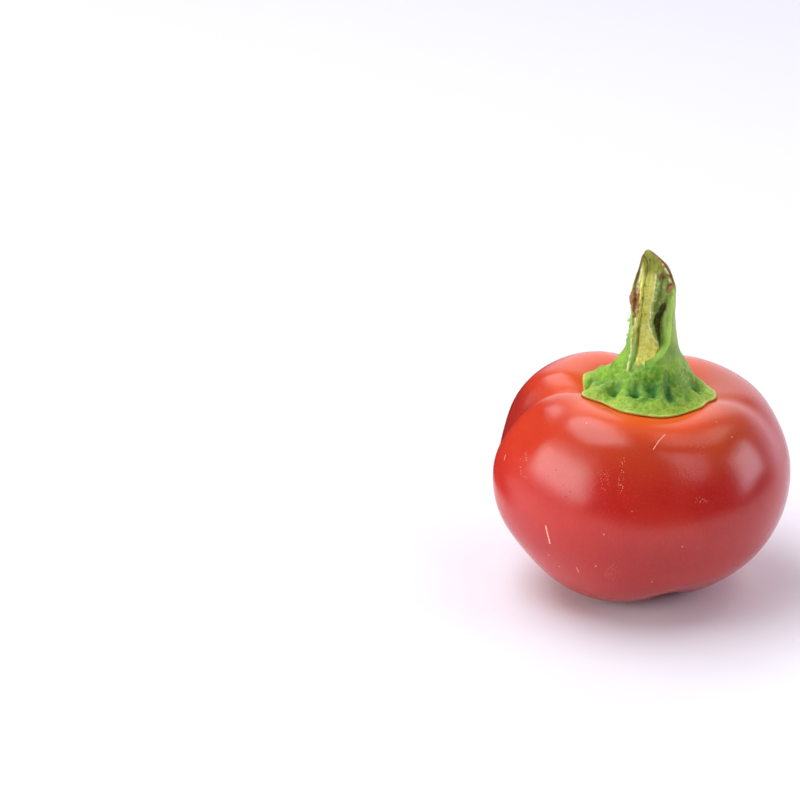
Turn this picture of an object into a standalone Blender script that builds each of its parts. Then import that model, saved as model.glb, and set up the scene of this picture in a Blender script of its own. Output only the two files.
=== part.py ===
"""A hot cherry pepper standing on its blossom end: the fruit, and its calyx with the torn stem."""

import math

import bmesh
import bpy
from mathutils import Vector
from mathutils.bvhtree import BVHTree

MM = 0.001

# The fruit: a squat three-lobed berry, and what lies above and below its equator
ROUND_WIDTH = 41.5 * MM
DEPTH_TO_WIDTH = 0.98
RISE_ABOVE_EQUATOR = 12.8 * MM
FALL_BELOW_EQUATOR = 19.8 * MM
SHOULDER_FULLNESS = 4.0
BASE_FULLNESS = 2.2
TOP_FALLS_RIGHT = 0.035
FOOT_CUT = 0.2 * MM
FOOT_SNAP = 0.01 * MM

# The hollow round the stem, the dent under the base and the pit of the blossom scar: depth and reach
STEM_HOLLOW = (3.9 * MM, 9.0 * MM)
BASE_DENT = (2.4 * MM, 5.6 * MM)
SCAR_PIT = (1.3 * MM, 1.0 * MM)

# The grooves between the lobes and the shallow folds beside them: azimuth and half-width in degrees,
# then depth at the shoulder, side and base
GROOVES = (
    (176.0, 12.0, 1.9 * MM, 0.30 * MM, 1.0 * MM),
    (90.0, 18.0, 1.1 * MM, 0.30 * MM, 1.0 * MM),
    (286.0, 24.0, 0.7 * MM, 0.20 * MM, 1.3 * MM),
    (341.0, 8.0, 0.35 * MM, 0.0, 0.0),
    (175.0, 6.5, 1.2 * MM, 0.0, 0.0),
)
SHOULDER_RISE, SHOULDER_SPREAD = 0.74, 0.16
BASE_RISE, BASE_SPREAD = 0.17, 0.14

# Where the lobes swell or flatten: azimuth and half-width in degrees, then rise, spread and height
SWELLINGS = (
    (180.0, 45.0, 0.42, 0.10, 1.1 * MM),
    (180.0, 45.0, 0.28, 0.10, -0.4 * MM),
    (0.0, 45.0, 0.63, 0.10, -0.5 * MM),
    (130.0, 35.0, 0.70, 0.12, 0.5 * MM),
    (45.0, 35.0, 0.70, 0.12, 0.05 * MM),
    (20.0, 30.0, 0.62, 0.12, -0.4 * MM),
    (158.0, 11.0, 0.60, 0.07, 0.3 * MM),
    (262.0, 43.0, 0.35, 0.13, 0.6 * MM),
    (262.0, 43.0, 0.62, 0.12, -0.7 * MM),
    (262.0, 43.0, 0.08, 0.07, -0.4 * MM),
    (190.0, 14.0, 0.535, 0.075, 0.8 * MM),
    (213.0, 9.0, 0.715, 0.055, -0.4 * MM),
    (203.0, 8.0, 0.645, 0.050, -0.4 * MM),
    (218.0, 32.0, 0.25, 0.11, 0.55 * MM),
    (322.0, 32.0, 0.25, 0.11, -0.45 * MM),
)

SLOPE_STEP = 0.004
FRUIT_RINGS = 46
FRUIT_SECTORS = 78

# The calyx: a green cap draped on the shoulder round the stem
SEAT = Vector((0.05 * MM, -0.3 * MM))
CALYX_RADIUS = 9.0 * MM
CALYX_GAP = 0.3 * MM

# How far out its rim reaches, by azimuth
RIM = (
    (4.0, 8.95 * MM),
    (22.0, 8.7 * MM),
    (36.0, 8.8 * MM),
    (50.0, 9.4 * MM),
    (70.0, 8.9 * MM),
    (92.0, 9.3 * MM),
    (114.0, 9.8 * MM),
    (130.0, 9.2 * MM),
    (142.0, 9.2 * MM),
    (155.0, 9.8 * MM),
    (172.0, 9.05 * MM),
    (188.0, 9.3 * MM),
    (202.0, 10.2 * MM),
    (218.0, 8.8 * MM),
    (232.0, 9.1 * MM),
    (244.0, 9.9 * MM),
    (262.0, 9.9 * MM),
    (276.0, 9.7 * MM),
    (290.0, 9.3 * MM),
    (305.0, 9.1 * MM),
    (317.0, 9.4 * MM),
    (331.0, 9.1 * MM),
    (346.0, 9.7 * MM),
)
RIM_ROUND = ((RIM[-1][0] - 360.0, RIM[-1][1]),) + RIM + ((RIM[0][0] + 360.0, RIM[0][1]),)

# Its underside and its back: share of the rim's radius, then height above the skin
UNDERSIDE = (0.20, 0.45, 0.68, 0.86, 0.96)
CALYX_BACK = (
    (1.000, 0.25 * MM),
    (0.985, 0.50 * MM),
    (0.940, 0.85 * MM),
    (0.870, 1.35 * MM),
    (0.800, 2.10 * MM),
    (0.735, 3.00 * MM),
    (0.670, 4.10 * MM),
    (0.605, 5.50 * MM),
    (0.545, 6.70 * MM),
    (0.490, 7.45 * MM),
)
DRAPE_FADES_BY = 7.0 * MM

# The dimples in the calyx between its veins: azimuth, then distance from the stem's middle and depth
DIMPLES = (
    (12.0, 6.6 * MM, 0.8 * MM),
    (38.0, 6.3 * MM, 0.7 * MM),
    (70.0, 6.7 * MM, 0.9 * MM),
    (101.0, 6.2 * MM, 0.8 * MM),
    (129.0, 6.6 * MM, 0.7 * MM),
    (167.0, 7.6 * MM, 0.8 * MM),
    (194.0, 6.9 * MM, 0.9 * MM),
    (221.0, 6.4 * MM, 1.1 * MM),
    (249.0, 6.3 * MM, 1.2 * MM),
    (272.0, 6.0 * MM, 1.1 * MM),
    (293.0, 6.7 * MM, 1.0 * MM),
    (314.0, 7.2 * MM, 0.5 * MM),
    (336.0, 6.8 * MM, 1.1 * MM),
)
DIMPLE_REACH = 0.9 * MM

# The stem: height above its seat, then its middle, half its width, where it is widest
# and how far back it goes
STEM_MIDDLE = (
    (0.0, 0.1 * MM),
    (8.0 * MM, 0.45 * MM),
    (16.0 * MM, 0.40 * MM),
    (19.2 * MM, 0.50 * MM),
    (21.0 * MM, 0.25 * MM),
    (22.5 * MM, -0.40 * MM),
)
STEM_HALF_WIDTH = (
    (8.1 * MM, 4.10 * MM),
    (8.7 * MM, 3.80 * MM),
    (9.8 * MM, 3.50 * MM),
    (11.7 * MM, 3.25 * MM),
    (13.7 * MM, 3.05 * MM),
    (17.5 * MM, 3.00 * MM),
    (19.2 * MM, 2.55 * MM),
    (20.6 * MM, 1.95 * MM),
    (21.8 * MM, 1.15 * MM),
    (22.5 * MM, 0.35 * MM),
)
STEM_WIDEST = (
    (14.0 * MM, 0.0),
    (17.0 * MM, 0.2 * MM),
    (19.0 * MM, 0.9 * MM),
    (22.5 * MM, 2.1 * MM),
)
STEM_BACK = (
    (8.1 * MM, 4.1 * MM),
    (10.0 * MM, 3.5 * MM),
    (14.0 * MM, 3.1 * MM),
    (22.5 * MM, 2.9 * MM),
)
STEM_FOOT = 8.1 * MM
STEM_TIP = 22.5 * MM
TIP_BACK = 2.2 * MM
TIP_ROUNDING = 0.2 * MM
STEM_RINGS = 28
STEM_SECTORS = 84

# The tear down the stem's front: where its right edge runs, and how far back its face lies
TEAR_EDGE = (
    (6.5 * MM, -3.2 * MM),
    (8.0 * MM, -1.2 * MM),
    (9.9 * MM, 1.2 * MM),
    (12.1 * MM, 1.9 * MM),
    (14.2 * MM, 2.1 * MM),
    (17.0 * MM, 2.5 * MM),
    (19.0 * MM, 3.0 * MM),
    (21.0 * MM, 3.8 * MM),
)
TEAR_FACE = (
    (6.4 * MM, -4.3 * MM),
    (8.0 * MM, -3.1 * MM),
    (10.0 * MM, -2.1 * MM),
    (13.0 * MM, -1.2 * MM),
    (17.0 * MM, -0.5 * MM),
    (19.0 * MM, 0.3 * MM),
    (22.5 * MM, 1.6 * MM),
)
TEAR_FOOT = 5.2 * MM
TEAR_RUNOUT = 1.0 * MM
TEAR_WALL = 1.6 * MM
TEAR_ROUNDING = 0.35 * MM
RECESS_WIDTH = 1.3 * MM
RECESS_DEPTH = 0.8 * MM
FAR_FORWARD = -6.0 * MM

SKIN_RED = (0.55, 0.016, 0.010)
CALYX_GREEN = (0.17, 0.42, 0.04)


def smooth(value):
    """Rises from 0 to 1 with no corner at either end."""
    value = min(1.0, max(0.0, value))
    return value * value * (3.0 - 2.0 * value)


def mix(a, b, share):
    return a + (b - a) * share


def bell(value, reach):
    """1 at the middle, falling away on both sides."""
    return math.exp(-((value / reach) ** 2))


def turn_between(a, b):
    """The signed angle from b to a, in degrees."""
    return (a - b + 180.0) % 360.0 - 180.0


def along(table, at):
    """Reads a table of (key, value) rows on one smooth curve through them."""
    if at <= table[0][0]:
        return table[0][1]
    if at >= table[-1][0]:
        return table[-1][1]
    low = max(i for i, row in enumerate(table) if row[0] <= at)
    (x0, y0), (x1, y1) = table[low], table[low + 1]
    before, after = table[max(0, low - 1)], table[min(len(table) - 1, low + 2)]
    slope0 = (y1 - before[1]) / (x1 - before[0])
    slope1 = (after[1] - y0) / (after[0] - x0)
    span = x1 - x0
    s = (at - x0) / span
    return (
        (2 * s**3 - 3 * s**2 + 1) * y0
        + (s**3 - 2 * s**2 + s) * span * slope0
        + (3 * s**2 - 2 * s**3) * y1
        + (s**3 - s**2) * span * slope1
    )


def ringed_skin(rings, sectors, place):
    """A closed skin of rings between two poles. place(ring, azimuth) gives each of its points."""
    grid = bmesh.new()
    spine = [grid.verts.new((min(1, i, rings + 1 - i), 0, i)) for i in range(rings + 2)]
    edges = [grid.edges.new(pair) for pair in zip(spine, spine[1:])]
    turned = spine + edges
    bmesh.ops.spin(grid, geom=turned, axis=(0, 0, 1), angle=math.tau, steps=sectors, use_merge=True)
    bmesh.ops.remove_doubles(grid, verts=grid.verts, dist=0.001)
    for vertex in grid.verts:
        azimuth = math.degrees(math.atan2(vertex.co.y, vertex.co.x))
        vertex.co = place(round(vertex.co.z), azimuth)
    bmesh.ops.recalc_face_normals(grid, faces=grid.faces)
    return grid


def fruit_outline(rise):
    """Radius and height above the equator. rise goes from 0 at the blossom end to 1 at the stem."""
    angle = (rise - 0.5) * math.pi
    upper = smooth(rise)
    inward = max(0.0, math.cos(angle))
    radius = ROUND_WIDTH / 2 * inward
    height = math.sqrt(1.0 - inward ** mix(BASE_FULLNESS, SHOULDER_FULLNESS, upper))
    height *= math.copysign(mix(FALL_BELOW_EQUATOR, RISE_ABOVE_EQUATOR, upper), angle)
    if rise > 0.5:
        return radius, height - STEM_HOLLOW[0] * bell(radius, STEM_HOLLOW[1])
    for depth, reach in (BASE_DENT, SCAR_PIT):
        height += depth * bell(radius, reach)
    return radius, height


def groove_depth(azimuth, rise):
    depth = 0.0
    shoulder = bell(rise - SHOULDER_RISE, SHOULDER_SPREAD)
    side = math.sin(math.pi * rise) ** 2
    base = bell(rise - BASE_RISE, BASE_SPREAD)
    for middle, half_width, at_shoulder, at_side, at_base in GROOVES:
        across = bell(turn_between(azimuth, middle), half_width)
        depth += across * (at_shoulder * shoulder + at_side * side + at_base * base)
    return depth


def swelling(azimuth, rise):
    return sum(
        height * bell(turn_between(azimuth, middle), half_width) * bell(rise - at_rise, spread)
        for middle, half_width, at_rise, spread, height in SWELLINGS
    )


def fruit_point(azimuth, rise):
    """A point of the skin: the round outline, moved along its normal by the grooves and swellings."""
    radius, height = fruit_outline(rise)
    below = fruit_outline(max(0.0, rise - SLOPE_STEP))
    above = fruit_outline(min(1.0, rise + SLOPE_STEP))
    upward = Vector((above[0] - below[0], above[1] - below[1])).normalized()
    depth = groove_depth(azimuth, rise) - swelling(azimuth, rise)
    radius = max(0.0, radius - depth * upward.y)
    height += depth * upward.x
    angle = math.radians(azimuth)
    x = radius * math.cos(angle)
    height -= x * TOP_FALLS_RIGHT * smooth(2 * rise - 1)
    return Vector((x, DEPTH_TO_WIDTH * radius * math.sin(angle), height))


def stand_flat(skin):
    """Cuts the lobes off level where they meet the table, which leaves a small flat foot on each."""
    cut = bmesh.ops.bisect_plane(
        skin,
        geom=skin.verts[:] + skin.edges[:] + skin.faces[:],
        dist=FOOT_SNAP,
        plane_co=(0, 0, 0),
        plane_no=(0, 0, -1),
        clear_outer=True,
    )
    for vertex in skin.verts:
        if vertex.co.z < FOOT_SNAP:
            vertex.co.z = 0.0
    rims = [e for e in cut["geom_cut"] if isinstance(e, bmesh.types.BMEdge)]
    bmesh.ops.holes_fill(skin, edges=rims, sides=0)
    bmesh.ops.recalc_face_normals(skin, faces=skin.faces)


def make_fruit():
    last = FRUIT_RINGS + 1
    skin = ringed_skin(FRUIT_RINGS, FRUIT_SECTORS, lambda ring, azimuth: fruit_point(azimuth, ring / last))
    lowest = min(v.co.z for v in skin.verts)
    bmesh.ops.translate(skin, verts=skin.verts, vec=(0, 0, -lowest - FOOT_CUT))
    stand_flat(skin)
    return skin


def rim_radius(azimuth):
    return along(RIM_ROUND, azimuth % 360.0)


def dimple_depth(x, y):
    depth = 0.0
    for azimuth, out, deep in DIMPLES:
        angle = math.radians(azimuth)
        depth += deep * bell(math.hypot(x - out * math.cos(angle), y - out * math.sin(angle)), DIMPLE_REACH)
    return depth


def rounded_max(a, b, rounding):
    share = min(1.0, max(0.0, 0.5 + 0.5 * (a - b) / rounding))
    return mix(b, a, share) + rounding * share * (1.0 - share)


def torn_back(x, y, height):
    """Moves a point of the stem back onto the tear's face, where the tear has taken what was in front."""
    edge = along(TEAR_EDGE, height)
    face = along(TEAR_FACE, height)
    recess = RECESS_DEPTH * bell(x - edge + RECESS_WIDTH, RECESS_WIDTH / 2)
    wall = smooth((x - edge) / TEAR_WALL)
    torn = rounded_max(y, mix(face + recess, FAR_FORWARD, wall), TEAR_ROUNDING)
    return mix(y, torn, smooth((height - TEAR_FOOT) / TEAR_RUNOUT))


def stem_section(azimuth, height):
    """Round in front of its widest line and drawn in behind it, so that the tip is a wedge."""
    across, away = math.cos(math.radians(azimuth)), math.sin(math.radians(azimuth))
    widest = along(STEM_WIDEST, height)
    back = along(STEM_BACK, height)
    x = along(STEM_HALF_WIDTH, height) * across
    y = mix(widest, back, away) if away > 0.0 else widest + back * away
    return Vector((along(STEM_MIDDLE, height) + x, torn_back(x, y, height), height))


def make_calyx(skin):
    """Its underside follows the fruit, its back rises into the stem, and the stem ends in the torn tip."""
    below = BVHTree.FromBMesh(skin)
    high = Vector((0, 0, 1))
    seat_height = below.ray_cast(Vector((SEAT.x, SEAT.y, 1)), -high)[0].z
    seat = Vector((SEAT.x, SEAT.y, seat_height))
    stem_heights = [mix(STEM_FOOT, STEM_TIP, i / (STEM_RINGS - 1)) for i in range(STEM_RINGS)]
    back_from = 1 + len(UNDERSIDE)
    stem_from = back_from + len(CALYX_BACK)
    rings = stem_from + STEM_RINGS - 1

    def drape(x, y):
        return below.ray_cast(Vector((seat.x + x, seat.y + y, 1)), -high)[0].z - seat.z

    def place(ring, azimuth):
        angle = math.radians(azimuth)
        if ring == 0:
            return Vector((0, 0, CALYX_GAP))
        if ring > rings:
            return Vector((along(STEM_MIDDLE, STEM_TIP), TIP_BACK, STEM_TIP + TIP_ROUNDING))
        if ring >= stem_from:
            return stem_section(azimuth, stem_heights[ring - stem_from])
        if ring < back_from:
            share, lift = UNDERSIDE[ring - 1], 0.0
        else:
            share, lift = CALYX_BACK[ring - back_from]
        rising = smooth(lift / DRAPE_FADES_BY)
        radius = share * mix(rim_radius(azimuth), CALYX_RADIUS, rising)
        middle = along(STEM_MIDDLE, 0) * (1 - rising) + along(STEM_MIDDLE, lift) * rising
        x = middle + radius * math.cos(angle)
        y = radius * math.sin(angle)
        height = drape(x, y) * (1 - rising) + CALYX_GAP + lift
        if ring < back_from:
            return Vector((x, y, height))
        height -= dimple_depth(x, y)
        return Vector((x, torn_back(x, y, height), height))

    return ringed_skin(rings, STEM_SECTORS, place), seat


def material(name, colour, roughness):
    made = bpy.data.materials.new(name)
    made.use_nodes = True
    shader = made.node_tree.nodes["Principled BSDF"]
    shader.inputs["Base Color"].default_value = (*colour, 1.0)
    shader.inputs["Roughness"].default_value = roughness
    shader.inputs["Metallic"].default_value = 0.0
    return made


def show(name, skin, finish, parent, location):
    mesh = bpy.data.meshes.new(name)
    skin.to_mesh(mesh)
    mesh.shade_smooth()
    mesh.materials.append(finish)
    made = bpy.data.objects.new(name, mesh)
    made.location = location
    made.parent = parent
    bpy.context.scene.collection.objects.link(made)
    return made


def main():
    for old in list(bpy.data.objects):
        bpy.data.objects.remove(old)
    fruit_skin = make_fruit()
    calyx_skin, seat = make_calyx(fruit_skin)
    xs = [v.co.x for v in fruit_skin.verts]
    ys = [v.co.y for v in fruit_skin.verts]
    pepper = bpy.data.objects.new("pepper", None)
    pepper.location = (-(min(xs) + max(xs)) / 2, -(min(ys) + max(ys)) / 2, 0)
    bpy.context.scene.collection.objects.link(pepper)
    show("fruit", fruit_skin, material("pepper_skin", SKIN_RED, 0.28), pepper, (0, 0, 0))
    show("calyx_and_stem", calyx_skin, material("calyx_green", CALYX_GREEN, 0.5), pepper, seat)


main()
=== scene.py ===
# %% [markdown]
# # A hot cherry pepper
# A squat red fruit with three shallow lobes stands on its blossom end. A green calyx is draped on
# its shoulder and goes over into a short stem that is torn open down the front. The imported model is
# loaded first and never moved. The fruit and the calyx are then made again with the same formulas
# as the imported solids, but with far more rings, so that the fine forms have room: the scar of the
# flower, the lip of the calyx, the fibres in the tear.

import math

import bmesh
import bpy
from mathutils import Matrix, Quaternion, Vector, noise
from mathutils.bvhtree import BVHTree


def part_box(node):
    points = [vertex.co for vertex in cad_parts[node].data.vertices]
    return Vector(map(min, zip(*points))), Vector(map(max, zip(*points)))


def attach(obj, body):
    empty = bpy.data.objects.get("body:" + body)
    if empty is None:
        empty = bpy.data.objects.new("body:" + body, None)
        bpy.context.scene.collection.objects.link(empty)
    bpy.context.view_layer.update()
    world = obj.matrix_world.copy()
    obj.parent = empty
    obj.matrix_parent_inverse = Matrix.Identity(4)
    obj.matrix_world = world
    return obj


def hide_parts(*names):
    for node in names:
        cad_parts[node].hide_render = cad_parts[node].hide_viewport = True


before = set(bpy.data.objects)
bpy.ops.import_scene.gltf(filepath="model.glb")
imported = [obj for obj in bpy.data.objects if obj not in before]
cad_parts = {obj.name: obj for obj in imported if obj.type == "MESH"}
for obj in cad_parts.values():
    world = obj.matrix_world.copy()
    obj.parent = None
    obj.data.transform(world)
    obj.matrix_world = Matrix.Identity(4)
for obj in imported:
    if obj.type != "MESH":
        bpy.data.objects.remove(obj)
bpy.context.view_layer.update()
MM = 0.001
print("packed nodes:", sorted(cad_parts))

# %% [markdown]
# ## The camera
# The pepper stands right of the middle of the picture and is seen from a little above. A long lens
# keeps the perspective as flat as in the photograph. The camera's place follows from the elevation,
# the distance and the pixel at which one point on the pepper's axis is seen. The camera is moved
# sideways for that instead of shifting the lens, because a shifted lens would push the pepper out
# of the middle in every other view.

# %% Place the camera
PICTURE = 800
ELEVATION = math.radians(23.3)
DISTANCE = 0.42
PIXEL_SIZE = 0.1419 * MM
AIM = Vector((0.0, 0.0, 17.5 * MM))
AIM_PIXEL = (640.7, 467.6)

forward = Vector((0.0, math.cos(ELEVATION), -math.sin(ELEVATION)))
sideways = Vector((1.0, 0.0, 0.0))
upward = sideways.cross(forward)
eye = AIM - forward * DISTANCE
eye -= sideways * (AIM_PIXEL[0] - PICTURE / 2) * PIXEL_SIZE
eye += upward * (AIM_PIXEL[1] - PICTURE / 2) * PIXEL_SIZE

lens = bpy.data.cameras.new("camera")
lens.sensor_width = 36.0
lens.lens = lens.sensor_width * DISTANCE / (PICTURE * PIXEL_SIZE)
lens.clip_start = 0.01
camera = bpy.data.objects.new("camera", lens)
camera.location = eye
camera.rotation_euler = (math.pi / 2 - ELEVATION, 0.0, 0.0)
bpy.context.scene.collection.objects.link(camera)
bpy.context.scene.camera = camera
print("lens", round(lens.lens, 1), "mm at", [round(c, 4) for c in eye])

# %% [markdown]
# ## Small helpers for shaping by formula
# A grown form has no straight edge, so it is shaped by moving the points of a plain turned skin.
# Four small curves do nearly all of it: a rise with no corner, a mix, a bell, and a smooth line
# through a few measured rows.

# %% Curves used by every piece
def smooth(value):
    value = min(1.0, max(0.0, value))
    return value * value * (3.0 - 2.0 * value)


def mix(a, b, share):
    return a + (b - a) * share


def bell(value, reach):
    return math.exp(-((value / reach) ** 2))


def turn_between(a, b):
    return (a - b + 180.0) % 360.0 - 180.0


def along(table, at):
    if at <= table[0][0]:
        return table[0][1]
    if at >= table[-1][0]:
        return table[-1][1]
    low = max(i for i, row in enumerate(table) if row[0] <= at)
    (x0, y0), (x1, y1) = table[low], table[low + 1]
    before, after = table[max(0, low - 1)], table[min(len(table) - 1, low + 2)]
    slope0 = (y1 - before[1]) / (x1 - before[0])
    slope1 = (after[1] - y0) / (after[0] - x0)
    span = x1 - x0
    s = (at - x0) / span
    return (
        (2 * s**3 - 3 * s**2 + 1) * y0
        + (s**3 - 2 * s**2 + s) * span * slope0
        + (3 * s**2 - 2 * s**3) * y1
        + (s**3 - s**2) * span * slope1
    )


def between(value, low, high, soft):
    """1 from low to high and 0 outside, with soft borders."""
    return smooth((value - low) / soft + 0.5) * smooth((high - value) / soft + 0.5)


print("a soft step half way up gives", smooth(0.5))
print("a bell one reach away gives", round(bell(1.0, 1.0), 3))

# %% [markdown]
# Nothing that grew is quite even. A smooth noise, read at the scale of the form, makes every edge
# wander a little. It is the same each time, so nothing changes from one run to the next. The tables
# of this lesson are written in millimetres, because that is how one reads a fruit, and are made
# metres once.

# %% Randomness and units
def grain(point, scale, octave):
    """Smooth random relief between about -1 and 1, at a scale given in metres."""
    return noise.noise(point / scale + Vector((octave, 3.7, 1.3)))


def drift(point, waves, octave):
    """Waves of several sizes laid over each other, each given by its height and its scale."""
    return sum(
        high * grain(point, scale, octave + 2.0 * step) for step, (high, scale) in enumerate(waves)
    )


def metres(*rows):
    """Rows of millimetres, made metres."""
    return tuple(tuple(number * MM for number in row) for row in rows)


def turns(*rows):
    """Rows of an azimuth in degrees and then millimetres, which are made metres."""
    return tuple((row[0],) + tuple(number * MM for number in row[1:]) for row in rows)


print("a row of millimetres in metres:", metres((1.0, 20.0)))

# %% [markdown]
# ## A turned skin
# Both pieces start as a spine of points that is spun once round. The full turn is merged, so there
# is no seam, and every point is then placed by ring and azimuth. Spinning first and shaping
# afterwards keeps the rings even, which a sculpted ball would not.

# %% Spin a closed skin and place its points
def ringed_skin(rings, sectors, place):
    grid = bmesh.new()
    spine = [grid.verts.new((min(1, i, rings + 1 - i), 0, i)) for i in range(rings + 2)]
    edges = [grid.edges.new(pair) for pair in zip(spine, spine[1:])]
    turned = spine + edges
    bmesh.ops.spin(grid, geom=turned, axis=(0, 0, 1), angle=math.tau, steps=sectors, use_merge=True)
    bmesh.ops.remove_doubles(grid, verts=grid.verts, dist=0.001)
    for vertex in grid.verts:
        azimuth = math.degrees(math.atan2(vertex.co.y, vertex.co.x))
        vertex.co = place(round(vertex.co.z), azimuth)
    bmesh.ops.recalc_face_normals(grid, faces=grid.faces)
    return grid


def raise_skin(skin, relief):
    """Moves every point along its own normal by what relief(vertex) gives."""
    skin.normal_update()
    moved = [v.co + v.normal * relief(v) for v in skin.verts]
    for vertex, place in zip(skin.verts, moved):
        vertex.co = place
    skin.normal_update()


small_skin = ringed_skin(3, 8, lambda ring, azimuth: Vector((azimuth, ring, 0.0)))
print("3 rings of 8 sectors and two poles make", len(small_skin.verts), "points")
small_skin.free()

# %% [markdown]
# ## The fruit
# The fruit is a squat berry: nearly an ellipse below its widest ring and boxier above it, with a
# hollow round the stem and a dent with the flower's scar underneath. A lathe would turn it from its
# outline, and so does this lesson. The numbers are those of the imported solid, so that the picture
# and the solid agree.

# %% The fruit's outline
ROUND_WIDTH = 41.5 * MM
RISE_ABOVE_EQUATOR = 12.8 * MM
FALL_BELOW_EQUATOR = 19.8 * MM
SHOULDER_FULLNESS = 4.0
BASE_FULLNESS = 2.2
STEM_HOLLOW = (3.9 * MM, 9.0 * MM)
BASE_DENT = (2.4 * MM, 5.6 * MM)
SCAR_PIT = (1.3 * MM, 1.0 * MM)
SCAR_NUB = (-0.6 * MM, 0.42 * MM)


def fruit_outline(rise):
    angle = (rise - 0.5) * math.pi
    upper = smooth(rise)
    inward = max(0.0, math.cos(angle))
    radius = ROUND_WIDTH / 2 * inward
    height = math.sqrt(1.0 - inward ** mix(BASE_FULLNESS, SHOULDER_FULLNESS, upper))
    height *= math.copysign(mix(FALL_BELOW_EQUATOR, RISE_ABOVE_EQUATOR, upper), angle)
    if rise > 0.5:
        return radius, height - STEM_HOLLOW[0] * bell(radius, STEM_HOLLOW[1])
    for depth, reach in (BASE_DENT, SCAR_PIT, SCAR_NUB):
        height += depth * bell(radius, reach)
    return radius, height


outline_mm = [[round(side / MM, 1) for side in fruit_outline(rise / 4)] for rise in range(5)]
print("radius and height from the scar to the stem, in mm:", outline_mm)

# %% [markdown]
# Three grooves part the lobes, and only the left one is sharp. Two narrow ones are creases that run
# out from the calyx. Low swellings and troughs then bend the lobes until the fruit's outline is the
# real one's. All of them are bells, laid across the skin's own slope, so no edge is left where they
# meet.

# %% Its grooves and its lobes
SHOULDER_RISE, SHOULDER_SPREAD = 0.74, 0.16
BASE_RISE, BASE_SPREAD = 0.17, 0.14
SLOPE_STEP = 0.004
DEPTH_TO_WIDTH = 0.98
TOP_FALLS_RIGHT = 0.035
GROOVES = (
    # middle and half width in degrees, then how deep at the shoulder, on the side and at the base
    (176.0, 12.0, 1.9 * MM, 0.30 * MM, 1.0 * MM),
    (90.0, 18.0, 1.1 * MM, 0.30 * MM, 1.0 * MM),
    (286.0, 24.0, 0.7 * MM, 0.20 * MM, 1.3 * MM),
    (341.0, 8.0, 0.35 * MM, 0.0, 0.0),
    (175.0, 6.5, 1.2 * MM, 0.0, 0.0),
)
SWELLINGS = (
    # middle and half width in degrees, then how far up, over what share of the rise, and how high
    (180.0, 45.0, 0.42, 0.10, 1.1 * MM),
    (180.0, 45.0, 0.28, 0.10, -0.4 * MM),
    (0.0, 45.0, 0.63, 0.10, -0.5 * MM),
    (130.0, 35.0, 0.70, 0.12, 0.5 * MM),
    (45.0, 35.0, 0.70, 0.12, 0.05 * MM),
    (20.0, 30.0, 0.62, 0.12, -0.4 * MM),
    (158.0, 11.0, 0.60, 0.07, 0.3 * MM),
    (262.0, 43.0, 0.35, 0.13, 0.6 * MM),
    (262.0, 43.0, 0.62, 0.12, -0.7 * MM),
    (262.0, 43.0, 0.08, 0.07, -0.4 * MM),
    (190.0, 14.0, 0.535, 0.075, 0.8 * MM),
    (213.0, 9.0, 0.715, 0.055, -0.4 * MM),
    (203.0, 8.0, 0.645, 0.050, -0.4 * MM),
    (218.0, 32.0, 0.25, 0.11, 0.55 * MM),
    (322.0, 32.0, 0.25, 0.11, -0.45 * MM),
)


def groove_depth(azimuth, rise):
    depth = 0.0
    shoulder = bell(rise - SHOULDER_RISE, SHOULDER_SPREAD)
    side = math.sin(math.pi * rise) ** 2
    base = bell(rise - BASE_RISE, BASE_SPREAD)
    for middle, half_width, at_shoulder, at_side, at_base in GROOVES:
        across = bell(turn_between(azimuth, middle), half_width)
        depth += across * (at_shoulder * shoulder + at_side * side + at_base * base)
    return depth


def swelling(azimuth, rise):
    return sum(
        height * bell(turn_between(azimuth, middle), half_width) * bell(rise - at_rise, spread)
        for middle, half_width, at_rise, spread, height in SWELLINGS
    )


def fruit_point(azimuth, rise):
    radius, height = fruit_outline(rise)
    below = fruit_outline(max(0.0, rise - SLOPE_STEP))
    above = fruit_outline(min(1.0, rise + SLOPE_STEP))
    slope = Vector((above[0] - below[0], above[1] - below[1])).normalized()
    depth = groove_depth(azimuth, rise) - swelling(azimuth, rise)
    radius = max(0.0, radius - depth * slope.y)
    height += depth * slope.x
    angle = math.radians(azimuth)
    x = radius * math.cos(angle)
    height -= x * TOP_FALLS_RIGHT * smooth(2 * rise - 1)
    return Vector((x, DEPTH_TO_WIDTH * radius * math.sin(angle), height))


left_groove = groove_depth(GROOVES[0][0], SHOULDER_RISE)
print("the left groove is", round(left_groove / MM, 2), "mm deep at the shoulder")

# %% [markdown]
# The skin is not a perfect turned surface. It has waves a few millimetres long and only some
# hundredths high. They are hardly seen as shape, but they bend the edges of the reflections, and
# that is what tells the eye that the fruit is grown. The lobes are then cut level where they meet
# the table.

# %% Spin the fruit and let it stand
FRUIT_RINGS = 170
FRUIT_SECTORS = 300
FOOT_CUT = 0.2 * MM
FOOT_SNAP = 0.01 * MM
SKIN_WAVES = metres((0.09, 9.0), (0.020, 4.5))


def skin_relief(vertex):
    return sum(height * grain(vertex.co, scale, 5.0) for height, scale in SKIN_WAVES)


def stand_flat(skin):
    lowest = min(v.co.z for v in skin.verts)
    bmesh.ops.translate(skin, verts=skin.verts, vec=(0, 0, -lowest - FOOT_CUT))
    cut = bmesh.ops.bisect_plane(
        skin,
        geom=skin.verts[:] + skin.edges[:] + skin.faces[:],
        dist=FOOT_SNAP,
        plane_co=(0, 0, 0),
        plane_no=(0, 0, -1),
        clear_outer=True,
    )
    for vertex in skin.verts:
        if vertex.co.z < FOOT_SNAP:
            vertex.co.z = 0.0
    rims = [e for e in cut["geom_cut"] if isinstance(e, bmesh.types.BMEdge)]
    bmesh.ops.holes_fill(skin, edges=rims, sides=0)
    bmesh.ops.recalc_face_normals(skin, faces=skin.faces)


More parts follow.
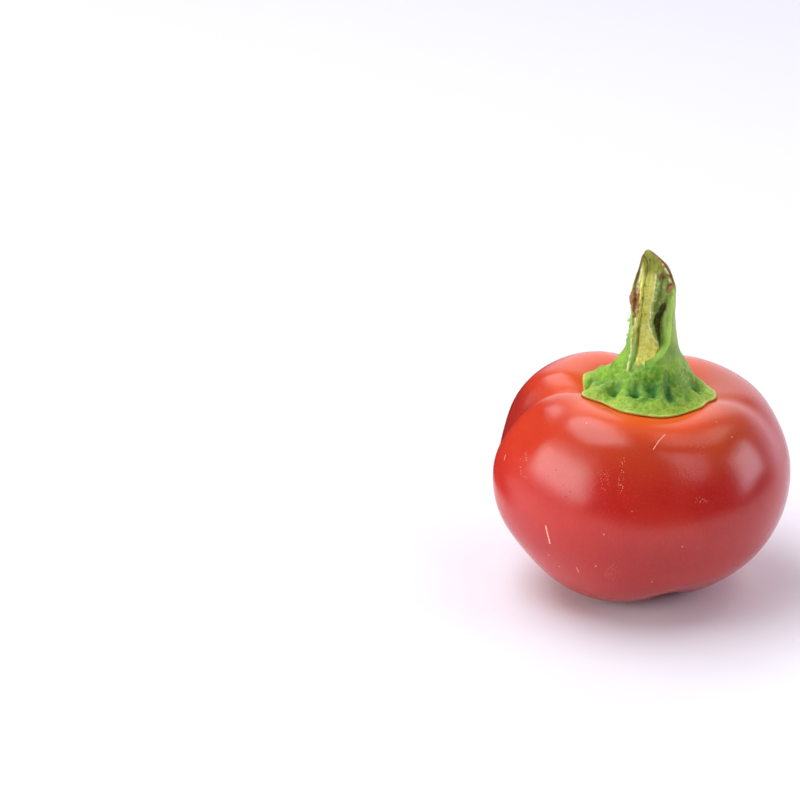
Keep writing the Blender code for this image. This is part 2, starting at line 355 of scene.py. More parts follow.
def ringed_fruit_point(ring, azimuth):
    return fruit_point(azimuth, ring / (FRUIT_RINGS + 1))


fruit_skin = ringed_skin(FRUIT_RINGS, FRUIT_SECTORS, ringed_fruit_point)
raise_skin(fruit_skin, skin_relief)
stand_flat(fruit_skin)
print("fruit:", len(fruit_skin.verts), "points")

# %% [markdown]
# ## The calyx
# The calyx is a green cap, about 20 mm across, with blunt points round its rim. Its underside
# follows the fruit, found by casting rays down onto the fruit's own skin, so it lies close
# everywhere. Its back rises slowly, then steeply, into the stem. Between the veins that run out to
# the rim it is dimpled.

# %% The calyx's outline and its dimples
SEAT = Vector((0.05 * MM, -0.3 * MM))
CALYX_RADIUS = 9.0 * MM
CALYX_GAP = 0.3 * MM
RIM_GAP = 0.03 * MM
# How far out the rim reaches all round. The first and the last row are repeated to close the turn.
RIM = turns(
    (4.0, 8.95), (22.0, 8.7), (36.0, 8.8), (50.0, 9.4), (70.0, 8.9), (92.0, 9.3), (114.0, 9.8),
    (130.0, 9.2), (142.0, 9.2), (155.0, 9.8), (172.0, 9.05), (188.0, 9.3), (202.0, 10.2),
    (218.0, 8.8), (232.0, 9.1), (244.0, 9.9), (262.0, 9.9), (276.0, 9.7), (290.0, 9.3),
    (305.0, 9.1), (317.0, 9.4), (331.0, 9.1), (346.0, 9.7),
)
RIM_ROUND = ((RIM[-1][0] - 360.0, RIM[-1][1]),) + RIM + ((RIM[0][0] + 360.0, RIM[0][1]),)
# The cap's back from its rim to the stem: the share of the radius and the height of each row
BACK_SHARE = (1.0, 0.985, 0.94, 0.87, 0.80, 0.735, 0.67, 0.605, 0.545, 0.49)
BACK_LIFT = (0.14, 0.26, 0.58, 1.15, 2.00, 3.00, 4.10, 5.50, 6.70, 7.45)
DRAPE_FADES_BY = 7.0 * MM
DIMPLE_WANDER = metres((0.50, 1.2), (0.18, 0.5))
# The dimples all round: how far out each lies and how deep it is
DIMPLES = turns(
    (12.0, 6.6, 0.8), (38.0, 6.3, 0.7), (70.0, 6.7, 0.9), (101.0, 6.2, 0.8), (129.0, 6.6, 0.7),
    (167.0, 7.6, 0.8), (194.0, 6.9, 0.9), (221.0, 6.4, 1.1), (249.0, 6.3, 1.2),
    (272.0, 6.0, 1.1), (293.0, 6.7, 1.0), (314.0, 7.2, 0.5), (336.0, 6.8, 1.1),
)
DIMPLE_REACH = 0.9 * MM


def rim_radius(azimuth):
    return along(RIM_ROUND, azimuth % 360.0)


def distance_to(azimuth, out, x, y):
    """How far a place on the cap lies from a spot given by azimuth and radius."""
    angle = math.radians(azimuth)
    return math.hypot(x - out * math.cos(angle), y - out * math.sin(angle))


def dimple_depth(x, y):
    here = Vector((x, y, 0.0))
    x += drift(here, DIMPLE_WANDER, 81.0)
    y += drift(here, DIMPLE_WANDER, 85.0)
    return sum(
        deep * bell(distance_to(azimuth, out, x, y), DIMPLE_REACH) for azimuth, out, deep in DIMPLES
    )


reaches = [out for _, out in RIM]
print("the rim reaches", round(min(reaches) / MM, 2), "to", round(max(reaches) / MM, 2), "mm out")
print(len(DIMPLES), "dimples")

# %% [markdown]
# ## The stem
# The stem is nearly round and about 6 mm thick. It leans a little to the right and narrows to a
# wedge-shaped tip. A pipe along a curve would be quicker, but its section could not change as this
# one does. So the rows below give its middle, its half width and its back at several heights above
# the seat.

# %% The stem's outline
STEM_MIDDLE = metres(
    (0.0, 0.1), (8.0, 0.45), (16.0, 0.40), (19.2, 0.50), (21.0, 0.25), (22.5, -0.40),
)
STEM_HALF_WIDTH = metres(
    (8.1, 4.10), (8.7, 3.80), (9.8, 3.50), (11.7, 3.25), (13.7, 3.05), (17.5, 3.00),
    (19.2, 2.55), (20.6, 1.95), (21.8, 1.15), (22.5, 0.35),
)
STEM_WIDEST = metres((14.0, 0.0), (17.0, 0.2), (19.0, 0.9), (22.5, 2.1))
STEM_BACK = metres((8.1, 4.1), (10.0, 3.5), (14.0, 3.1), (22.5, 2.9))
STEM_FOOT = 8.1 * MM
STEM_TIP = 22.5 * MM
TIP_BACK = 2.2 * MM
TIP_ROUNDING = 0.2 * MM


def stem_round(azimuth, height):
    """How far a point of the stem lay across and away from its middle before it tore."""
    across, away = math.cos(math.radians(azimuth)), math.sin(math.radians(azimuth))
    widest = along(STEM_WIDEST, height)
    back = along(STEM_BACK, height)
    x = along(STEM_HALF_WIDTH, height) * across
    y = mix(widest, back, away) if away > 0.0 else widest + back * away
    return x, y


thickest = 2 * along(STEM_HALF_WIDTH, 14 * MM) / MM
print("the stem is", round(thickest, 1), "mm thick, 14 mm above its seat")

# %% [markdown]
# ## The strips of the tear
# When the fruit was pulled off, a strip of the stem's front went with the branch. What is left is a
# face of pale pith with a raised thread of fibre on its left and a hollow under the right-hand
# rind. Each border is a line of its own up the face, and it frays: it wanders a little to both
# sides.

# %% The borders of the strips
# From left to right: height above the seat, then how far across each border runs
FIBRE_LINE = metres(
    (6.8, -3.2), (8.1, -2.88), (9.3, -2.57), (12.0, -2.39), (13.0, -2.15), (18.2, -1.79),
    (21.0, -1.15),
)
PITH_LEFT = metres(
    (7.1, -2.40), (9.5, -1.75), (11.1, -1.50), (17.3, -1.57), (20.5, -1.00),
)
PITH_RIGHT = metres(
    (7.0, -2.2), (7.7, -0.9), (8.8, 1.1), (9.8, 1.25), (10.4, 0.93), (11.5, 0.38),
    (13.0, -0.11), (14.6, 0.03), (16.4, 0.26), (18.1, 0.51), (19.7, 0.77),
)
GAP_LEFT = metres((10.0, 1.25), (11.9, 0.75), (13.4, 0.45), (14.6, 0.95), (15.6, 1.50))
GAP_RIGHT = metres((10.0, 1.40), (11.9, 1.45), (13.4, 1.50), (14.6, 2.05), (15.6, 2.20))
FRAYING = metres((0.14, 0.8), (0.08, 0.25))
BARE_RIGHT = metres(
    (6.4, -3.4), (7.0, -2.6), (7.7, -1.5), (8.8, 0.6), (9.8, 1.30), (11.9, 1.69), (13.65, 2.0),
    (15.1, 2.32), (16.2, 2.47), (18.8, 3.17), (21.0, 3.9),
)


def frayed(height, octave):
    """How far a border of the tear wanders to the side."""
    return drift(Vector((0.0, 0.0, height)), FRAYING, octave)


def thread_line(height):
    return along(FIBRE_LINE, height) + 0.5 * frayed(height, 31.0)


def pith_border(height):
    return along(PITH_RIGHT, height) + 1.3 * frayed(height, 21.0)


def bare_border(height):
    return along(BARE_RIGHT, height) + frayed(height, 61.0)


borders = [round(border(12 * MM) / MM, 2) for border in (thread_line, pith_border, bare_border)]
print("12 mm above the seat, thread, pith and rind begin at", borders, "mm")

# %% [markdown]
# ## The face of the tear
# The tear moves every point in front of it back onto its own face. Sinking a copy of the face into
# the stem with a boolean would leave a knife's edge, so a rounded maximum is taken between the two
# instead. The face has its own low relief: the recess, the thread, and grain that is drawn out
# along the fibres.

# %% Tear the stem open
TEAR_EDGE = metres(
    (6.5, -3.2), (8.0, -1.2), (9.9, 1.2), (12.1, 1.9), (14.2, 2.1), (17.0, 2.5), (19.0, 3.0),
    (21.0, 3.8),
)
TEAR_FACE = metres(
    (6.4, -4.3), (8.0, -3.1), (10.0, -2.1), (13.0, -1.2), (17.0, -0.5), (19.0, 0.3), (22.5, 1.6),
)
TEAR_FOOT = 5.2 * MM
TEAR_RUNOUT = 1.0 * MM
TEAR_WALL = 1.6 * MM
TEAR_ROUNDING = 0.35 * MM
FAR_FORWARD = -6.0 * MM
RECESS_DEPTH = 0.40 * MM
GAP_DEPTH = 0.55 * MM
LIP_HEIGHT = 0.09 * MM
THREAD_HEIGHT = 0.30 * MM
THREAD_BED = 0.16 * MM
LEFT_FALLS = 0.35 * MM
FACE_GRAIN = (
    # how much it is drawn out along the stem, then its height, scale and octave
    (0.12, 0.035 * MM, 0.20 * MM, 2.0),
    (0.30, 0.08 * MM, 0.7 * MM, 9.0),
    (1.0, 0.03 * MM, 0.28 * MM, 14.0),
)


def rounded_max(a, b, rounding):
    share = min(1.0, max(0.0, 0.5 + 0.5 * (a - b) / rounding))
    return mix(b, a, share) + rounding * share * (1.0 - share)


def face_relief(x, height):
    """What sinks into the tear's face. What stands out of it counts below zero."""
    past_thread = x - thread_line(height)
    past_pith = x - pith_border(height)
    past_gap = x - (along(GAP_LEFT, height) + along(GAP_RIGHT, height)) / 2
    above_foot = smooth((height - 9.2 * MM) / (1.4 * MM))
    below_tip = smooth((20.4 * MM - height) / (1.5 * MM))
    gap_ends = smooth((16.8 * MM - height) / (2.0 * MM))
    back = above_foot * below_tip * RECESS_DEPTH * smooth(past_pith / (0.3 * MM))
    back += above_foot * gap_ends * GAP_DEPTH * bell(past_gap, 0.45 * MM)
    back -= above_foot * LIP_HEIGHT * bell(past_pith + 0.10 * MM, 0.12 * MM)
    back -= THREAD_HEIGHT * bell(past_thread, 0.14 * MM)
    back += THREAD_BED * bell(past_thread - 0.38 * MM, 0.16 * MM)
    back += LEFT_FALLS * smooth(-past_thread / (0.5 * MM))
    for drawn_out, high, scale, octave in FACE_GRAIN:
        back += high * grain(Vector((x, 0.0, height * drawn_out)), scale, octave)
    return back


def torn_back(x, y, height):
    edge = along(TEAR_EDGE, height) + frayed(height, 4.0)
    face = along(TEAR_FACE, height) + face_relief(x, height)
    wall = smooth((x - edge) / TEAR_WALL)
    torn = rounded_max(y, mix(face, FAR_FORWARD, wall), TEAR_ROUNDING)
    return mix(y, torn, smooth((height - TEAR_FOOT) / TEAR_RUNOUT))


def stem_point(azimuth, height):
    x, y = stem_round(azimuth, height)
    return Vector((along(STEM_MIDDLE, height) + x, torn_back(x, y, height), height))


front = [round(y / MM, 2) for y in (stem_round(270.0, 14 * MM)[1], stem_point(270.0, 14 * MM).y)]
print("14 mm up, the stem's front lay at", front[0], "mm and now lies at", front[1], "mm")

# %% [markdown]
# The rings go out under the cap, turn at the lip, climb its back and then the stem, and close at
# the tip. The rim is nibbled a little at random, because a clean curve there looks moulded.

# %% Spin the calyx with its stem
UNDER_RINGS = 8
BACK_RINGS = 84
STEM_RINGS = 116
GREEN_SECTORS = 380
UNDERSIDE_SHARE = 0.97
NIBBLES = (
    # how deep, how fine and which octave of the noise
    (0.07 * MM, 9, 0.5),
    (0.08 * MM, 30, 7.5),
    (0.04 * MM, 75, 4.5),
)
share_rows = tuple(enumerate(BACK_SHARE))
lift_rows = tuple((i, lift * MM) for i, lift in enumerate(BACK_LIFT))
fruit_below = BVHTree.FromBMesh(fruit_skin)
DOWN = Vector((0, 0, -1))


def skin_height(x, y):
    return fruit_below.ray_cast(Vector((x, y, 1.0)), DOWN)[0].z


seat = Vector((SEAT.x, SEAT.y, skin_height(SEAT.x, SEAT.y)))


def nibbled(angle):
    across, away = math.cos(angle), math.sin(angle)
    return sum(
        deep * noise.noise(Vector((fine * across, fine * away, octave)))
        for deep, fine, octave in NIBBLES
    )


def cap_point(share, lift, azimuth, on_back):
    rising = smooth(lift / DRAPE_FADES_BY)
    angle = math.radians(azimuth)
    radius = share * mix(rim_radius(azimuth) + nibbled(angle), CALYX_RADIUS, rising)
    middle = mix(along(STEM_MIDDLE, 0), along(STEM_MIDDLE, lift), rising)
    x = middle + radius * math.cos(angle)
    y = radius * math.sin(angle)
    draped = skin_height(seat.x + x, seat.y + y) - seat.z
    closed = (CALYX_GAP - RIM_GAP) * smooth((share - 0.80) / 0.17)
    height = draped * (1 - rising) + CALYX_GAP - closed + lift
    if not on_back:
        return Vector((x, y, height))
    height -= dimple_depth(x, y)
    return Vector((x, torn_back(x, y, height), height))


def green_point(ring, azimuth):
    if ring == 0:
        return Vector((0, 0, CALYX_GAP))
    if ring <= UNDER_RINGS:
        return cap_point(UNDERSIDE_SHARE * ring / UNDER_RINGS, 0.0, azimuth, False)
    ring -= UNDER_RINGS + 1
    if ring < BACK_RINGS:
        row = ring / (BACK_RINGS - 1) * (len(BACK_SHARE) - 1)
        return cap_point(along(share_rows, row), along(lift_rows, row), azimuth, True)
    ring -= BACK_RINGS
    if ring < STEM_RINGS:
        return stem_point(azimuth, mix(STEM_FOOT, STEM_TIP, ring / (STEM_RINGS - 1)))
    return Vector((along(STEM_MIDDLE, STEM_TIP), TIP_BACK, STEM_TIP + TIP_ROUNDING))


GREEN_RINGS = UNDER_RINGS + BACK_RINGS + STEM_RINGS
green_skin = ringed_skin(GREEN_RINGS, GREEN_SECTORS, green_point)
print("calyx and stem:", len(green_skin.verts), "points")

# %% [markdown]
# ## Colour follows form
# On the green piece the colour depends on where the tissue was torn, where it dried, and where it
# is sunk or raised. These are measured at every point and kept as attributes of the mesh. The
# shader reads them, so the colours stay with the forms in every view, which a projected pattern
# would not.

# %% The untorn stem and the dried patches
# Below the stem's foot, the radius that it would have had at several heights
FOOT_RADIUS = metres((5.2, 5.50), (6.0, 5.25), (7.0, 4.85), (8.1, 4.10))
DRIED = (
    # across, height, half-width, half-height, strength
    (-2.25, 16.2, 0.62, 1.75, 1.0),
    (-1.95, 14.9, 0.22, 1.3, 0.6),
    (1.49, 19.3, 0.50, 0.42, 0.9),
    (2.62, 17.9, 0.42, 0.75, 0.9),
    (-0.12, 21.5, 0.16, 0.20, 0.7),
    (-1.10, 16.6, 0.10, 0.10, 0.8),
    (-0.95, 18.1, 0.35, 0.20, 0.3),
    (-0.75, 14.3, 0.12, 0.12, 0.5),
    (0.90, 10.2, 0.30, 0.20, 0.4),
    (1.05, 9.3, 0.25, 0.25, 0.5),
)


def untorn_share(point):
    """Below 1 where the point lies inside what the whole stem would fill."""
    height = point.z
    middle = along(STEM_MIDDLE, height)
    if height < STEM_FOOT:
        return math.hypot(point.x - middle, point.y) / along(FOOT_RADIUS, height)
    across = (point.x - middle) / along(STEM_HALF_WIDTH, height)
    away = (point.y - along(STEM_WIDEST, height)) / along(STEM_BACK, height)
    return math.hypot(across, away)


def dried_share(point):
    rough = 1.0 + 0.55 * grain(point, 0.5 * MM, 1.0) + 0.35 * grain(point, 0.2 * MM, 8.0)
    most = 0.0
    for x, z, half_width, half_height, strength in DRIED:
        far = math.hypot((point.x / MM - x) / half_width, (point.z / MM - z) / half_height)
        most = max(most, strength * smooth((1.25 - far * rough) / 0.5))
    return most


print(len(DRIED), "dried patches")

# %% [markdown]
# Up the bare face the strips lie side by side. Each one is full between its two borders and fades
# over a tenth of a millimetre, because wet tissue next to wet tissue has no hard line between them.

# %% How much of each strip there is at a place on the face
STRIP_FADE = 0.14 * MM


def strips(x, height):
    left = along(PITH_LEFT, height)
    right = pith_border(height)
    gap_left = along(GAP_LEFT, height) + frayed(height, 51.0)
    uneven = 0.55 + 1.1 * grain(Vector((x, 0.0, height)), 0.45 * MM, 41.0)
    below_tip = smooth((20.6 * MM - height) / (1.6 * MM))
    gap = between(x, gap_left, along(GAP_RIGHT, height), STRIP_FADE)
    pale_lines = (
        # how far from its line, how wide, then between which heights, and how softly it ends
        (x - right + 0.08 * MM, 0.13 * MM, 10.0 * MM, 20.3 * MM, 0.6 * MM),
        (x - along(FIBRE_LINE, height), 0.13 * MM, 12.0 * MM, 19.0 * MM, 2.0 * MM),
        (x - left + 0.25 * MM, 0.14 * MM, 17.0 * MM, 20.6 * MM, 0.8 * MM),
    )
    pale = max(bell(far, wide) * between(height, *reach) for far, wide, *reach in pale_lines)
    return {
        "pith": between(x, left, right, STRIP_FADE) * below_tip,
        "fibre": min(1.0, max(0.0, uneven) * pale),
        "recess": smooth((x - right) / STRIP_FADE + 0.5) * below_tip,
        # The gap under the rind, which is painted as its shadow.
        "gap": gap * between(height, 10.0 * MM, 15.7 * MM, 0.3 * MM),
        "tip": smooth((height - 19.2 * MM) / (1.6 * MM)),
    }


sample = strips(0.0, 12 * MM)
print("in the middle, 12 mm up:", {name: round(share, 2) for name, share in sample.items()})

# %% [markdown]
# The tear also has lines of its own: the thread and the shade beside it, the brown line where the
# rind ends, and the cut edge of the tip. They are found from how deep a point lies inside the whole
# stem.

# %% Measure what the tear shows at a point
BELOW_TIP = 17.2 * MM
THREAD_FROM, THREAD_TO = 6.9 * MM, 12.6 * MM


def tear_marks(point):
    height = point.z
    whole = untorn_share(point)
    past_bare = point.x - bare_border(height)
    past_thread = point.x - thread_line(height)
    inside = smooth((1.0 - whole) / 0.10) * smooth((height - TEAR_FOOT - 0.6 * MM) / (0.8 * MM))
    high = smooth((height - BELOW_TIP) / (1.5 * MM))
    near_face = smooth((along(TEAR_FACE, height) + 1.0 * MM - point.y) / (0.4 * MM))
    tip_line = high * near_face * smooth((whole - 0.85) / 0.05)
    foot_line = 0.7 * bell(past_bare, 0.11 * MM) * between(height, 6.9 * MM, 10.6 * MM, 0.5 * MM)
    low = between(height, THREAD_FROM, THREAD_TO, 0.8 * MM)
    broken = smooth(0.6 + 1.3 * grain(Vector((0.0, 0.0, height)), 0.5 * MM, 35.0))
    return {
        "torn": inside * smooth(-past_bare / (0.16 * MM) + 0.5),
        "outline": max(tip_line, foot_line),
        "cut": high * inside * bell(whole - 0.80, 0.09) * smooth((point.x - 0.3 * MM) / MM),
        "thread": low * broken * bell(past_thread, 0.10 * MM),
        # Painted shade in the bed beside the thread.
        "sunk_shade": 0.8 * low * bell(past_thread - 0.38 * MM, 0.16 * MM),
    }


on_thread = Vector((thread_line(10 * MM), along(TEAR_FACE, 10 * MM), 10 * MM))
print("on the thread:", {name: round(share, 2) for name, share in tear_marks(on_thread).items()})

# %% [markdown]
# The rest of the cap is measured too: how deep a point lies in a dimple or a wrinkle, and how near
# it is to the rim. Then every point keeps its shares in layers that the shader can read by name.

# %% Keep every measure as a layer of the mesh
MASKS = (
    "torn", "dried", "recess", "sunk_shade", "rim", "lip", "skirt", "pith",
    "fibre", "gap", "tip", "outline", "cut", "thread", "crest_light_and_shade", "cap",
)
CAP_TOP = 7.5 * MM
RIM_TOP = 5.0 * MM


def crumple(point):
    """Sharp little ridges with hollows between them, from about -1 to 1."""
    coarse = 0.6 - 1.8 * abs(grain(point, 1.5 * MM, 5.0))
    return coarse + 0.3 * (0.6 - 2.0 * abs(grain(point, 0.6 * MM, 15.0)))


def rim_share(point):
    x = point.x - along(STEM_MIDDLE, 0)
    return math.hypot(x, point.y) / rim_radius(math.degrees(math.atan2(point.y, x)))


def measure(point):
    height = point.z
    found = dict.fromkeys(MASKS, 0.0)
    if height > TEAR_FOOT and point.y < along(STEM_WIDEST, height) + 0.5 * MM:
        found.update(strips(point.x, height))
        found.update(tear_marks(point))
    if found["torn"] > 0.02 or height > 14 * MM:
        found["dried"] = dried_share(point)
        # Painted shade on a strip beside where the rind ends.
        beside = point.x - along(BARE_RIGHT, height) - 0.75 * MM
        shaded = 0.42 * bell(beside, 0.55 * MM) * between(height, 7.0 * MM, 13.0 * MM, 2.0 * MM)
        found["sunk_shade"] = max(found["sunk_shade"], shaded)
    if height < CAP_TOP:
        # The depth of the dimples becomes painted shade.
        dimpled = min(1.0, dimple_depth(point.x, point.y) / (0.95 * MM))
        found["sunk_shade"] = max(found["sunk_shade"], dimpled)
    share = rim_share(point) if height < RIM_TOP else 0.0
    found["lip"] = bell(share - 0.974, 0.010)
    # The rim's edge, painted red-brown: partly its own dried edge, partly painted contact shadow.
    found["rim"] = smooth((share - 0.986) / 0.010)
    found["skirt"] = smooth((share - 0.74) / 0.14)
    found["cap"] = smooth((9.5 * MM - height) / (3.5 * MM))
    # The crumple's height, for a painted highlight on the crests and painted shade in the hollows.
    found["crest_light_and_shade"] = crumple(point) * 0.5 + 0.5
    return found


mask_layers = {name: green_skin.verts.layers.float.new(name) for name in MASKS}
for vertex in green_skin.verts:
    for name, share in measure(vertex.co).items():
        vertex[mask_layers[name]] = share
print("torn points:", sum(v[mask_layers["torn"]] > 0.5 for v in green_skin.verts))

# %% [markdown]
# The rind has a fine grain, faint ribs along the stem and low lumps on the cap between its veins.
# They are added along the normals, after the masks, so that they don't disturb what the masks
# measured. Two forms are written first: the knobs between the dimples, and the ragged left edge of
# the tear.

# %% Knobs of the cap and the tear's left edge
KNOB_HEIGHT = 0.30 * MM
KNOB_REACH = 0.85 * MM
KNOB_OUTWARD = 0.2 * MM


def knobs(point):
    """The cap swells between each two dimples."""
    raised = 0.0
    for (a0, out0, _), (a1, out1, _) in zip(DIMPLES, DIMPLES[1:] + DIMPLES[:1]):
        halfway = a0 + (a1 - a0) % 360.0 / 2
        far = distance_to(halfway, (out0 + out1) / 2 + KNOB_OUTWARD, point.x, point.y)
        raised += KNOB_HEIGHT * bell(far, KNOB_REACH)
    return raised * (1.0 + 0.8 * grain(point, 1.5 * MM, 91.0))


def left_edge(point):
    """The tear's left-hand edge: a dried swelling above, and small teeth of rind below it."""
    height = point.z
    if height < STEM_FOOT:
        return 0.0
    x = along(STEM_MIDDLE, height) - along(STEM_HALF_WIDTH, height)
    near = bell(point.x - x, 0.45 * MM) * bell(point.y - along(STEM_WIDEST, height), 0.6 * MM)
    ragged = max(0.0, grain(Vector((0.0, 0.0, height)), 0.27 * MM, 71.0))
    teeth = ragged * between(height, 9.5 * MM, 15.0 * MM, MM)
    crust = grain(point, 0.22 * MM, 73.0) * bell(height - 16.2 * MM, 1.6 * MM)
    swollen = 0.36 * bell(height - 16.2 * MM, 1.0 * MM)
    swollen -= 0.14 * bell(height - 14.2 * MM, 0.6 * MM)
    return near * MM * (0.75 * teeth + 0.16 * crust + swollen)


swelling_at = Vector((along(STEM_MIDDLE, 16.2 * MM) - 3 * MM, 0.0, 16.2 * MM))
print("the dried swelling stands out by", round(left_edge(swelling_at) / MM, 2), "mm")

# %% [markdown]
# Rind and torn face get different grain: the rind is crumpled on the cap and ribbed on the stem,
# and the bare face is nearly smooth. The masks say how much of each a point takes. The underside
# stays as it is.

# %% Give the green piece its grain
RIB_COUNT = 9
RIB_HEIGHT = 0.05 * MM
LUMP_HEIGHT = 0.17 * MM
CRUMPLE_HEIGHT = 0.10 * MM
PALE_LIP_HEIGHT = 0.05 * MM
LOOSE_THREAD_HEIGHT = 0.16 * MM
DRIED_SINKS = 0.08 * MM
UNDERSIDE_TOP = 0.9 * MM


def cap_relief(point):
    cap = LUMP_HEIGHT * grain(point, 1.9 * MM, 2.0)
    cap += CRUMPLE_HEIGHT * crumple(point)
    if point.z < 6.0 * MM:
        cap += knobs(point)
        cap *= 1.0 - 0.8 * smooth((rim_share(point) - 0.86) / 0.1)
    return cap


def green_relief(vertex):
    point = vertex.co
    height = point.z
    if height <= UNDERSIDE_TOP and rim_share(point) <= 0.9:
        return 0.0
    torn = vertex[mask_layers["torn"]]
    azimuth = math.atan2(point.y, point.x - along(STEM_MIDDLE, height))
    on_stem = smooth((height - 5.5 * MM) / (3.0 * MM))
    cap = cap_relief(point)
    ribs = RIB_HEIGHT * math.cos(RIB_COUNT * azimuth + 2.0 * grain(point, 6 * MM, 3.0))
    fine = 0.030 * MM * grain(point, 0.35 * MM, 6.0) + 0.016 * MM * grain(point, 0.17 * MM, 7.0)
    lip = PALE_LIP_HEIGHT * bell(rim_share(point) - 0.978, 0.010) if height < 6.0 * MM else 0.0
    lip += LOOSE_THREAD_HEIGHT * vertex[mask_layers["thread"]]
    rind = mix(cap, ribs + 0.25 * cap, on_stem) + fine
    raised = (1.0 - torn) * rind + torn * 0.5 * fine + lip
    return raised + left_edge(point) - DRIED_SINKS * vertex[mask_layers["dried"]]


raise_skin(green_skin, green_relief)
top = max(v.co.z for v in green_skin.verts)
print("green piece is", round(top / MM, 1), "mm tall above its seat")

# %% [markdown]
# ## The place of the pieces
# The skins were shaped round their own middle. They are moved so that the fruit's box matches the
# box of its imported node, before anything is painted, because scratches and specks are placed on the
# skin itself.

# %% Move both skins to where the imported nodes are
low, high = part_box("fruit")
xs = [v.co.x for v in fruit_skin.verts]
ys = [v.co.y for v in fruit_skin.verts]
shift = Vector((low.x + high.x - min(xs) - max(xs), low.y + high.y - min(ys) - max(ys), 0)) / 2
bmesh.ops.translate(fruit_skin, verts=fruit_skin.verts, vec=shift)
bmesh.ops.translate(green_skin, verts=green_skin.verts, vec=shift + seat)
skin_tree = BVHTree.FromBMesh(fruit_skin)
print("moved by", [round(side / MM, 3) for side in shift], "mm")

# %% [markdown]
# ## Materials
# A small helper builds node trees: it makes a node, sets its plain values and links the rest. Every
# pattern reads Object coordinates or a mask of the mesh, and plain numbers sit on the shader
# itself.

# %% A helper that adds and links nodes
def add(tree, kind, sockets=None, **settings):
    made = tree.nodes.new(kind)
    for name, value in settings.items():
        setattr(made, name, value)
    for key, value in (sockets or {}).items():
        if isinstance(value, bpy.types.NodeSocket):
            tree.links.new(value, made.inputs[key])
        else:
            made.inputs[key].default_value = value
    return made


def maths(tree, operation, a, b=0.0, c=0.0):
    return add(tree, "ShaderNodeMath", {0: a, 1: b, 2: c}, operation=operation).outputs[0]


def vector_maths(tree, operation, sockets):
    return add(tree, "ShaderNodeVectorMath", sockets, operation=operation).outputs


def blend(tree, factor, a, b):
    """Colour a where factor is 0 and colour b where it is 1."""
    made = add(tree, "ShaderNodeMix", {0: factor, 6: a, 7: b}, data_type="RGBA")
    return made.outputs[2]


def ramp(tree, value, low, high):
    """0 up to low and 1 from high on, or the other way round when low is the larger."""
    sockets = {"Value": value, "From Min": low, "From Max": high}
    return add(tree, "ShaderNodeMapRange", sockets, interpolation_type="SMOOTHSTEP").outputs[0]


def cloud(tree, place, scale, detail=2.0, stretch=None):
    if stretch:
        place = add(tree, "ShaderNodeMapping", {"Vector": place, "Scale": stretch}).outputs[0]
    sockets = {"Vector": place, "Scale": scale, "Detail": detail}
    return add(tree, "ShaderNodeTexNoise", sockets).outputs[0]


def new_material(name):
    made = bpy.data.materials.new(name)
    made.use_nodes = True
    tree = made.node_tree
    shader = tree.nodes["Principled BSDF"]
    place = tree.nodes.new("ShaderNodeTexCoord").outputs["Object"]
    return made, tree, shader, place


def colour(*levels):
    """A colour from screen levels of 0 to 255."""
    shares = [level / 255 for level in levels]
    light = [s / 12.92 if s <= 0.04045 else ((s + 0.055) / 1.055) ** 2.4 for s in shares]
    return tuple(light) + (1.0,)


print("screen level 128 is", round(colour(128)[0], 3), "of full light")

# %% [markdown]
# ### Washes
# Both finishes are painted like a watercolour: a mottled ground, and then one wash of colour after
# the other. A wash says where it lies by one or more shares, and how strong it is by a last one.
# They are multiplied, so it fades wherever one of them does.

# %% Grounds and washes
def times(tree, first, *others):
    """All the shares multiplied."""
    for other in others:
        first = maths(tree, "MULTIPLY", first, other)
    return first


def wash(tree, base, levels, *shares):
    return blend(tree, times(tree, *shares), base, colour(*levels))


def mottle(tree, pattern, span, levels, other_levels):
    return blend(tree, ramp(tree, pattern, *span), colour(*levels), colour(*other_levels))


def specks(tree, cells, size, channel, lot):
    """Dots in the middle of some Voronoi cells, which a channel of their colour picks."""
    dot = ramp(tree, cells.outputs["Distance"], *size)
    drawn = add(tree, "ShaderNodeSeparateColor", {0: cells.outputs["Color"]}).outputs[channel]
    return times(tree, dot, ramp(tree, drawn, *lot))


def outputs_xyz(tree, place):
    return add(tree, "ShaderNodeSeparateXYZ", {0: place}).outputs


trial, trial_tree, _, _ = new_material("trial")
before = len(trial_tree.nodes)
wash(trial_tree, colour(255, 255, 255), (255, 0, 0), 0.5, 0.5)
print("a wash with two shares adds", len(trial_tree.nodes) - before, "nodes")
bpy.data.materials.remove(trial)

# %% [markdown]
# ### The skin
# Ripe red all round, orange where the calyx shaded it and in the left groove, a browner flush on
# the right shoulder. It is also handled fruit. Scratches and scuffs are thin pale strokes, each a
# short chain of segments whose distance the shader measures in Object coordinates. Painting them on
# an image would need an unwrapped skin, and this way they stay as sharp as the picture is large.

